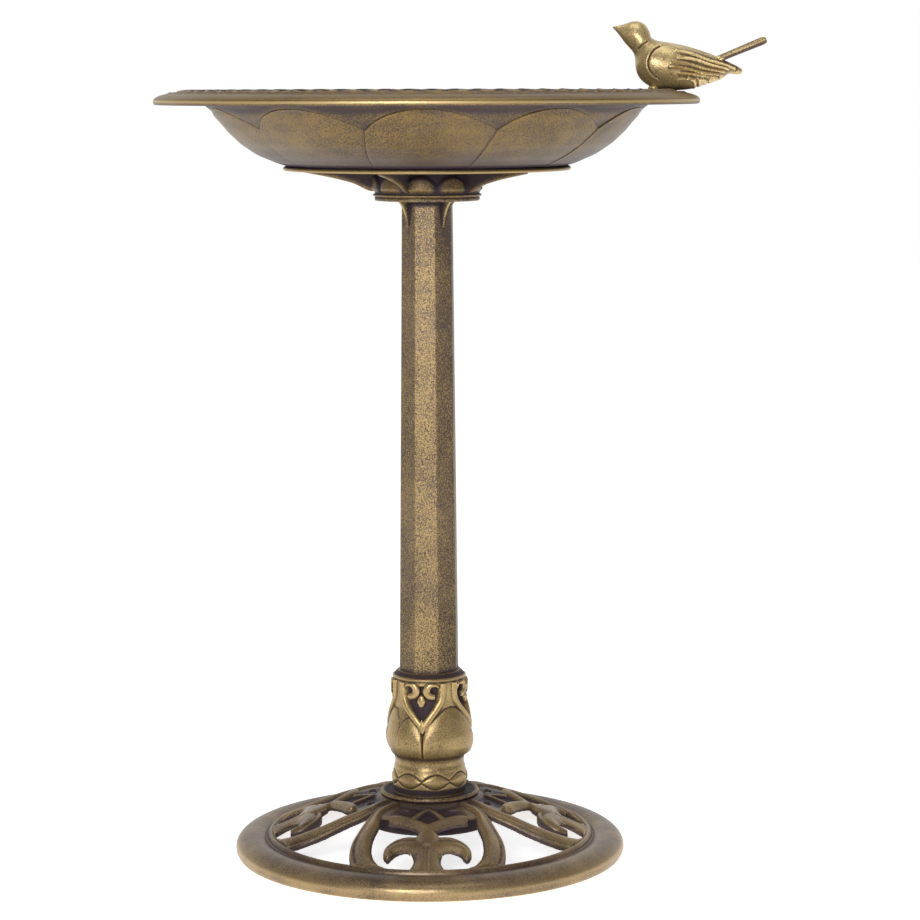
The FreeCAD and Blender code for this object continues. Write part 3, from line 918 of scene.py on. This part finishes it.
def around(make):
    """The pieces of every scroll, each scroll's turned to its place."""
    pieces = []
    for number in range(UNITS):
        for piece in make():
            piece.rotation_euler.z = math.radians(BASE_TURN + 360 * number / UNITS)
            pieces.append(piece)
    bpy.context.view_layer.update()
    return pieces


def openwork():
    item = hub()
    combine(item, around(lambda: legs() + horns() + stem() + chevron() + hub_sheet()))
    combine(item, around(slots), "DIFFERENCE")
    soften(item, 1.1, 2)

    def darkness(co):
        radius, _, height = polar(co)
        # Dark paint and painted shade on the bands' sides below their tops and under the hub.
        low = 0.85 * ramp(smooth_dome(radius) - height, 1.2, 4.2)
        hub_shade = 0.5 * ramp(radius, 70, 52)
        return np.max([low, hub_shade, (radius < SKIRT + 0.5) & (height < HUB_TOP - SHEET)], axis=0)

    return painted(item, 6, 1.3, darkness, 45)


# ---- Bird ----

# Places from the beak to the wing tips: the upper and lower outline in the side view, measured
# from the bird's screw and the rim's top, and the half width.
BIRD_X = 224
BIRD_CUTS = [
    (-51, 57.7, -50.9, 57.1, 0.5), (-47.6, 58.6, -48.4, 54.4, 2.6), (-43.4, 59.4, -44.4, 49.6, 5.2),
    (-38.6, 60.9, -40.6, 44.4, 8.4), (-33.4, 62.6, -36.4, 39.6, 11.2), (-27.6, 62.9, -32.6, 35.4, 13.2),
    (-21.6, 60.2, -30.6, 31, 14), (-17.4, 54.4, -29.9, 26, 14.6), (-15.2, 48.2, -29.4, 19.6, 17.4),
    (-10.6, 45.4, -27.2, 13, 20.4), (-4, 44.1, -22.2, 7, 22.6), (4, 42.8, -14.2, 2.2, 23.8),
    (13, 41, -3.6, -0.2, 24), (23, 38.4, 9.6, -0.2, 23),
    (32.4, 35.4, 22, 1, 20.6), (41.2, 32.2, 33.4, 4.4, 17.2), (49.6, 28.6, 44, 7.6, 13),
    (56, 25.6, 51.6, 10.4, 9.6), (59.5, 24, 57.2, 14.2, 7.4), (63.4, 22.2, 62, 14, 6),
    (67, 20.2, 66.6, 13.7, 4.4), (69.2, 18.6, 69.2, 15, 2.4), (69.8, 17.2, 69.8, 16.4, 0.8),
]
WING_FRONT = [(-8.4, 39.6), (-14.4, 36), (-18.4, 30), (-19.8, 24.1), (-18.4, 18.4), (-14.6, 13.2),
              (-9.6, 10)]
FEATHERS = [
    [(6, 35.6), (20, 33), (36, 27), (52, 22.6), (62, 19.2)],
    [(9, 30.2), (24, 27.6), (40, 22.4), (56, 18.6)],
    [(3, 25.4), (18, 23.6), (34, 19), (52, 16.2)],
    [(0, 21), (14, 19.4), (30, 15.6), (46, 13.8)],
    [(10, 14.6), (22, 14.2), (36, 11.6)],
]
SCALLOPS = [
    [(20, 12), (26, 8.6), (27.6, 1)],
    [(32, 12.6), (36.4, 9.4), (38, 3.6)],
    [(42, 13.4), (47, 11), (48.4, 6.6)],
]
NECK_LINE = [(-19.4, 44.4), (-24, 41.4), (-27.8, 37.2)]
TAIL_ROOT = np.array([45, 27])
TAIL_TIP = np.array([91.2, 45.8])


def bird_relief(x, z, width):
    """Wing, feathers and the crease of the neck, in the side view."""
    beside = ramp(width, 2, 5)
    front = curve_distance(x, z, WING_FRONT)
    fronts = np.array(WING_FRONT[::-1] + [(40, 43)])
    behind = np.interp(z, fronts[:, 1], fronts[:, 0])
    wing_top = 41.5 - 0.22 * np.maximum(x, 0)
    wing = 0.9 * ramp(x - behind, -0.3, 1.6) * ramp(z - wing_top, 1, -2)
    lift = wing + np.where(x < behind, 0.9 * bump(front - 1.5, 2.2), -1.2 * bump(front - 0.4, 0.9))
    rib = np.max([bump(curve_distance(x, z, line), 1.7) for line in FEATHERS], axis=0)
    in_fan = ramp(x, 0, 16) * (z > 10)
    lift = lift + 2.4 * rib - 1.1 * in_fan
    for line in SCALLOPS:
        near = curve_distance(x, z, line)
        lift = lift - 1.3 * bump(near, 1.3) + 0.7 * bump(near - 2.4, 2.2) * (z < 15)
    lift = lift - 1.3 * bump(curve_distance(x, z, NECK_LINE), 1.8)
    return lift * beside


def bird_body(side):
    """Loops of points over one half of the bird, cut after cut."""
    cuts = np.array(BIRD_CUTS)
    path = smooth_path(cuts, 0.85)
    turn = np.radians(np.linspace(0, 180, 76))
    upper, lower, width = path[:, :2], path[:, 2:4], path[:, 4]
    middle, reach = (upper + lower) / 2, (upper - lower) / 2
    x = middle[:, 0][:, None] + reach[:, 0][:, None] * np.cos(turn)
    z = middle[:, 1][:, None] + reach[:, 1][:, None] * np.cos(turn)
    y = width[:, None] * np.sin(turn) ** 0.92
    lift = bird_relief(x, z, y)
    height = np.linalg.norm(reach, axis=1)[:, None]
    out_y = np.sin(turn) / np.maximum(width[:, None], 1)
    out_r = np.cos(turn) / np.maximum(height, 1)
    size = np.hypot(out_y, out_r)
    y = np.maximum(y + lift * out_y / size, 0)
    shift = lift * out_r / size / np.maximum(height, 0.5)
    x = x + reach[:, 0][:, None] * shift
    z = z + reach[:, 1][:, None] * shift
    y[:, 0] = y[:, -1] = 0
    return np.stack([x + BIRD_X, side * y, z + RIM_TOP], -1)


def bird_tail(side):
    """Narrow blade with a line along its side."""
    along = (TAIL_TIP - TAIL_ROOT) / np.linalg.norm(TAIL_TIP - TAIL_ROOT)
    up = np.array([-along[1], along[0]])
    section = np.array([(0, -1), (0.9, -1), (1, -0.8), (1, -0.12), (0.93, 0), (1, 0.12),
                        (0.98, 0.75), (0.88, 1), (0, 1)])
    stops = [0, 0.25, 0.5, 0.75, 0.93, 0.975, 1]
    loops = []
    for share in np.concatenate([np.linspace(0, 0.93, 52), [0.95, 0.965, 0.98, 0.99, 1]]):
        thick = np.interp(share, stops, [3, 3, 3.2, 3.4, 3.5, 3.1, 1.9])
        wide = np.interp(share, stops, [6.6, 7, 7.4, 8, 8.4, 8.2, 7.4])
        outline = section * (wide, thick)
        length = lengths_along(outline)
        even = np.linspace(0, length[-1], 34)
        across, rise = np.interp(even, length, outline[:, 0]), np.interp(even, length, outline[:, 1])
        place = TAIL_ROOT + (TAIL_TIP - TAIL_ROOT) * share
        spot = place + up * rise[:, None]
        loops.append(np.column_stack([spot[:, 0] + BIRD_X, side * across, spot[:, 1] + RIM_TOP]))
    return lofted("tail", loops)


def bird_foot(side):
    """Small rounded foot on the rim."""
    around_ring = np.radians(np.arange(0, 360, 24))
    loops = []
    for turn in np.radians(np.linspace(8, 172, 12)):
        size = math.sin(turn)
        x = BIRD_X - 12.8 + 4.6 * size * np.cos(around_ring)
        y = side * (8 + 3.4 * size * np.sin(around_ring))
        z = RIM_TOP + 1.4 + 3 * math.cos(turn)
        loops.append(np.column_stack([x, y, np.full(len(x), z)]))
    return lofted("foot", loops)


def bird_half(name, side):
    item = lofted(name, bird_body(side))
    combine(item, [bird_tail(side), bird_foot(side)])

    def darkness(co):
        x, z = co[:, 0] - BIRD_X, co[:, 2] - RIM_TOP
        # Painted shade in the neck's crease, along the wing's front, between the feather ridges, under
        # the tail and under the belly.
        neck = 0.5 * bump(curve_distance(x, z, NECK_LINE), 1.6) * (np.abs(co[:, 1]) > 1.5)
        front = 0.6 * bump(curve_distance(x, z, WING_FRONT) - 0.3, 0.9)
        rib = np.min([curve_distance(x, z, line) for line in FEATHERS], axis=0)
        gaps = 0.45 * ramp(rib, 0.9, 1.8) * ramp(rib, 4.2, 2.6) * ramp(x, 2, 18)
        off_line = z - TAIL_ROOT[1] - 0.407 * (x - TAIL_ROOT[0])
        bands = np.where(off_line < -0.5, 0.85, np.where(off_line < 0.8, 0.1, 0.55))
        blade = ((off_line > -4.6) & (x > 44) & (z > 29 - 0.47 * (x - 50))) * bands
        under_tail = bump(np.hypot((x - 54.5) / 7, (z - 26.3) / 3), 1)
        belly = 0.75 * ramp(z, 6, 0)
        tip = 0.9 * ramp(x, -48.4, -51.2)
        return np.max([neck, front, gaps, blade, under_tail, belly, tip], axis=0)

    return painted(item, 6, 1.3, darkness, 50)


# ---- Materials ----

def linear(colour):
    """A colour given as it looks on a screen, 0 to 255, in the renderer's linear values."""
    return (*[((value / 255 + 0.055) / 1.055) ** 2.4 for value in colour], 1)


# Deep purple of patina in hollows and of painted shade.
DEEP = linear((56, 45, 53))
# Light gold of worn ridges and of painted highlight.
WORN_AND_HIGHLIGHT = linear((214, 188, 136))
MAUVE = (108, 90, 86)


class Nodes:
    """Short ways to add and join the nodes of a material or a world."""

    def __init__(self, owner, shader="Principled BSDF"):
        owner.use_nodes = True
        self.owner = owner
        self.tree = owner.node_tree
        self.shader = self.tree.nodes[shader]

    def set(self, socket, value):
        if isinstance(value, bpy.types.NodeSocket):
            self.tree.links.new(value, socket)
        else:
            socket.default_value = value

    def look(self, name, value):
        self.set(self.shader.inputs[name], value)

    def add(self, kind, **inputs):
        node = self.tree.nodes.new(kind)
        for name, value in inputs.items():
            self.set(node.inputs[name.replace("_", " ")], value)
        return node

    def noise(self, scale, detail=2, roughness=0.5):
        node = self.add("ShaderNodeTexNoise", Scale=scale, Detail=detail, Roughness=roughness)
        self.set(node.inputs["Vector"], self.add("ShaderNodeTexCoord").outputs["Object"])
        return node.outputs["Fac"]

    def value(self, name):
        node = self.tree.nodes.new("ShaderNodeAttribute")
        node.attribute_name = name
        return node.outputs["Fac"]

    def math(self, operation, first, second=0, third=0):
        node = self.tree.nodes.new("ShaderNodeMath")
        node.operation = operation
        for socket, value in zip(node.inputs, (first, second, third)):
            self.set(socket, value)
        return node.outputs[0]

    def span(self, value, low, high, to_low=0, to_high=1):
        node = self.add("ShaderNodeMapRange")
        node.clamp = True
        for name, amount in (("Value", value), ("From Min", low), ("From Max", high),
                             ("To Min", to_low), ("To Max", to_high)):
            self.set(node.inputs[name], amount)
        return node.outputs["Result"]

    def mix(self, share, first, second):
        node = self.tree.nodes.new("ShaderNodeMix")
        node.data_type = "RGBA"
        self.set(node.inputs["Factor"], share)
        self.set(node.inputs["A"], first)
        self.set(node.inputs["B"], second)
        return node.outputs["Result"]


def bronze(name, gold, brown, cover, speckle, gloss=0.42, metal=0.7, mauve=MAUVE, coat=0):
    """Antique bronze paint: gold dust over brown, lighter on ridges for wear and painted highlight, and
    dark in hollows for patina and painted shade.
    """
    n = Nodes(bpy.data.materials.new(name))
    grain = n.noise(900, 1.5, 0.5)
    patches = n.noise(11, 3, 0.55)
    blotches = n.noise(46, 3, 0.6)
    raised = n.value("raised")
    dark = n.value("dark")
    dust = cover
    for noise, amount in ((grain, 3.6 * speckle), (patches, 1.3), (blotches, 1)):
        dust = n.math("MULTIPLY_ADD", n.math("SUBTRACT", noise, 0.5), amount, dust)
    dust = n.math("MULTIPLY_ADD", raised, 0.8, dust)
    # Less gold where 'dark' is above 0, for patina and painted shade, and more where it is below 0, for
    # painted highlight.
    dust = n.math("MULTIPLY_ADD", dark, -1, dust)
    share = n.span(dust, 0, 1)
    cool = n.span(n.noise(7), 0.4, 0.7, 0, 0.5)
    colour = n.mix(share, n.mix(cool, linear(brown), linear(mauve)), linear(gold))
    # Deep purple where 'dark' is high: patina in hollows, and painted shade.
    hollow = n.span(n.math("SUBTRACT", dark, n.math("MULTIPLY", raised, 0.5)), 0.25, 0.95)
    colour = n.mix(n.math("MULTIPLY", hollow, 0.93), colour, DEEP)
    # Light gold on ridges and where 'dark' is below 0: wear, and painted highlight.
    rubbed_and_highlight = n.span(n.math("SUBTRACT", raised, dark), 0.45, 1.2, 0, 0.85)
    n.look("Base Color", n.mix(rubbed_and_highlight, colour, WORN_AND_HIGHLIGHT))
    dulled = n.span(hollow, 0, 1, 1, 0.1)
    n.look("Metallic", n.math("MULTIPLY", n.span(share, 0, 1, metal * 0.4, metal), dulled))
    polish = n.span(grain, 0.3, 0.7, gloss - 0.06, gloss + 0.1)
    n.look("Roughness", n.math("MULTIPLY_ADD", hollow, 0.2, polish))
    n.look("Specular IOR Level", n.span(hollow, 0, 1, 0.5, 0.15))
    n.look("Coat Weight", n.span(hollow, 0, 1, coat, 0))
    n.look("Coat Roughness", 0.3)
    relief = n.math("ADD", n.math("MULTIPLY", grain, 0.5), n.math("MULTIPLY", blotches, 0.7))
    rough = n.add("ShaderNodeBump", Strength=0.6, Distance=0.0005, Height=relief)
    n.look("Normal", rough.outputs["Normal"])
    return n.owner


def zinc():
    """Dull zinc plate on the hidden fasteners."""
    n = Nodes(bpy.data.materials.new("zinc_plate"))
    streaks = n.noise(260, 3, 0.6)
    n.look("Base Color", n.mix(streaks, linear((150, 152, 154)), linear((196, 198, 202))))
    n.look("Metallic", 0.9)
    n.look("Roughness", n.span(streaks, 0.3, 0.7, 0.28, 0.46))
    return n.owner


def pale_floor():
    """White paper, lit a little from below so that it stays white under the object."""
    n = Nodes(bpy.data.materials.new("studio_white"))
    colour = n.mix(n.noise(3), linear((244, 244, 244)), linear((248, 248, 248)))
    n.look("Base Color", colour)
    n.look("Roughness", 0.9)
    n.look("Specular IOR Level", 0.1)
    n.look("Emission Color", colour)
    n.look("Emission Strength", 0.8)
    return n.owner


# ---- Studio ----

FLOOR_REACH = 9000


def floor():
    corners = [(FLOOR_REACH * x, FLOOR_REACH * y, 0) for x, y in ((-1, -1), (1, -1), (1, 1), (-1, 1))]
    item = mesh_object("floor", corners, [(0, 1, 2, 3)])
    item.location.z = CAD_BOX[0][2] - 0.0004
    item.data.materials.append(pale_floor())


def lamp(name, place, target, size, power):
    data = bpy.data.lights.new(name, "AREA")
    data.shape = "SQUARE"
    data.size = size
    data.energy = power
    item = scene_object(name, data)
    item.location = place
    item.rotation_euler = (Vector(target) - Vector(place)).to_track_quat("-Z", "Y").to_euler()


def backdrop():
    """White paper behind and at the sides for the lighting, darker room behind the camera."""
    world = bpy.data.worlds.new("studio")
    n = Nodes(world, "Background")
    direction = n.add("ShaderNodeTexCoord").outputs["Generated"]
    depth = n.span(n.add("ShaderNodeSeparateXYZ", Vector=direction).outputs["Y"], -0.1, 1, 0.13, 0.9)
    depth.node.interpolation_type = "SMOOTHSTEP"
    ray = n.add("ShaderNodeLightPath").outputs["Is Camera Ray"]
    n.look("Strength", n.math("MAXIMUM", ray, depth))
    n.look("Color", (1, 1, 1, 1))
    bpy.context.scene.world = world


def studio():
    lamp("key", (-0.6, -2.85, 1.25), (0, 0, 0.42), 0.9, 48)
    lamp("top", (0, -0.4, 2.6), (0, 0, 0.4), 1.6, 14)
    backdrop()
    bpy.context.scene.view_settings.view_transform = "Standard"


def camera():
    data = bpy.data.cameras.new("camera")
    data.sensor_width = 36
    data.lens = 114.26
    item = scene_object("camera", data)
    item.location = (0.030, -2.742, 0.733)
    item.rotation_euler = (math.radians(82.62), 0, 0)
    item.rotation_euler.rotate_axis("Z", math.radians(-0.16))
    bpy.context.scene.camera = item


# ---- The whole bird bath ----

def main():
    bowl_paint = bronze("bowl_bronze", (138, 112, 62), (60, 46, 31), 0.44, 1.05, coat=0.12)
    pedestal_paint = bronze("pedestal_bronze", (164, 139, 94), (62, 47, 32), 0.46, 1.25)
    # Painted light: a brighter copy of the pedestal's bronze, for the collar under the same slot.
    collar_lit_paint = bronze("collar_lit_bronze", (184, 158, 108), (96, 76, 46), 0.74, 0.6, 0.34)
    base_paint = bronze("base_bronze", (172, 147, 106), (84, 67, 53), 0.48, 0.5, 0.33,
                        mauve=(124, 106, 102))
    bird_paint = bronze("bird_bronze", (226, 200, 144), (116, 92, 56), 0.62, 0.55, 0.32, 0.68,
                        mauve=(112, 90, 62))
    on_bowl = ("bowl_assembly", "bronze_bowl", bowl_paint)
    on_bird = ("bowl_assembly", "bronze_bird", bird_paint)
    on_pedestal = ("pedestal", "bronze_pedestal")
    on_base = ("pedestal", "bronze_base", base_paint)
    finish_piece(bowl(), "bowl", *on_bowl)
    finish_piece(bowl_support(), "bowl_support", *on_bowl)
    for number in range(FINS):
        finish_piece(fin(number), "bowl_support", *on_bowl)
    finish_piece(column(), "column", *on_pedestal, pedestal_paint)
    finish_piece(collar(), "collar", *on_pedestal, collar_lit_paint)
    finish_piece(foot_flange(), "foot_flange", *on_pedestal, pedestal_paint)
    for ring_part in (base_ring, openwork):
        finish_piece(ring_part(), "base", *on_base)
    for half, side in (("front", -1), ("back", 1)):
        finish_piece(bird_half("bird_" + half, side), "bird_%s_half" % half, *on_bird)
    plated = zinc()
    for name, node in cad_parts.items():
        if "rod" in name or "screw" in name or "washer" in name:
            for place in node.material_slots:
                place.material = plated
    floor()
    studio()
    camera()


main()
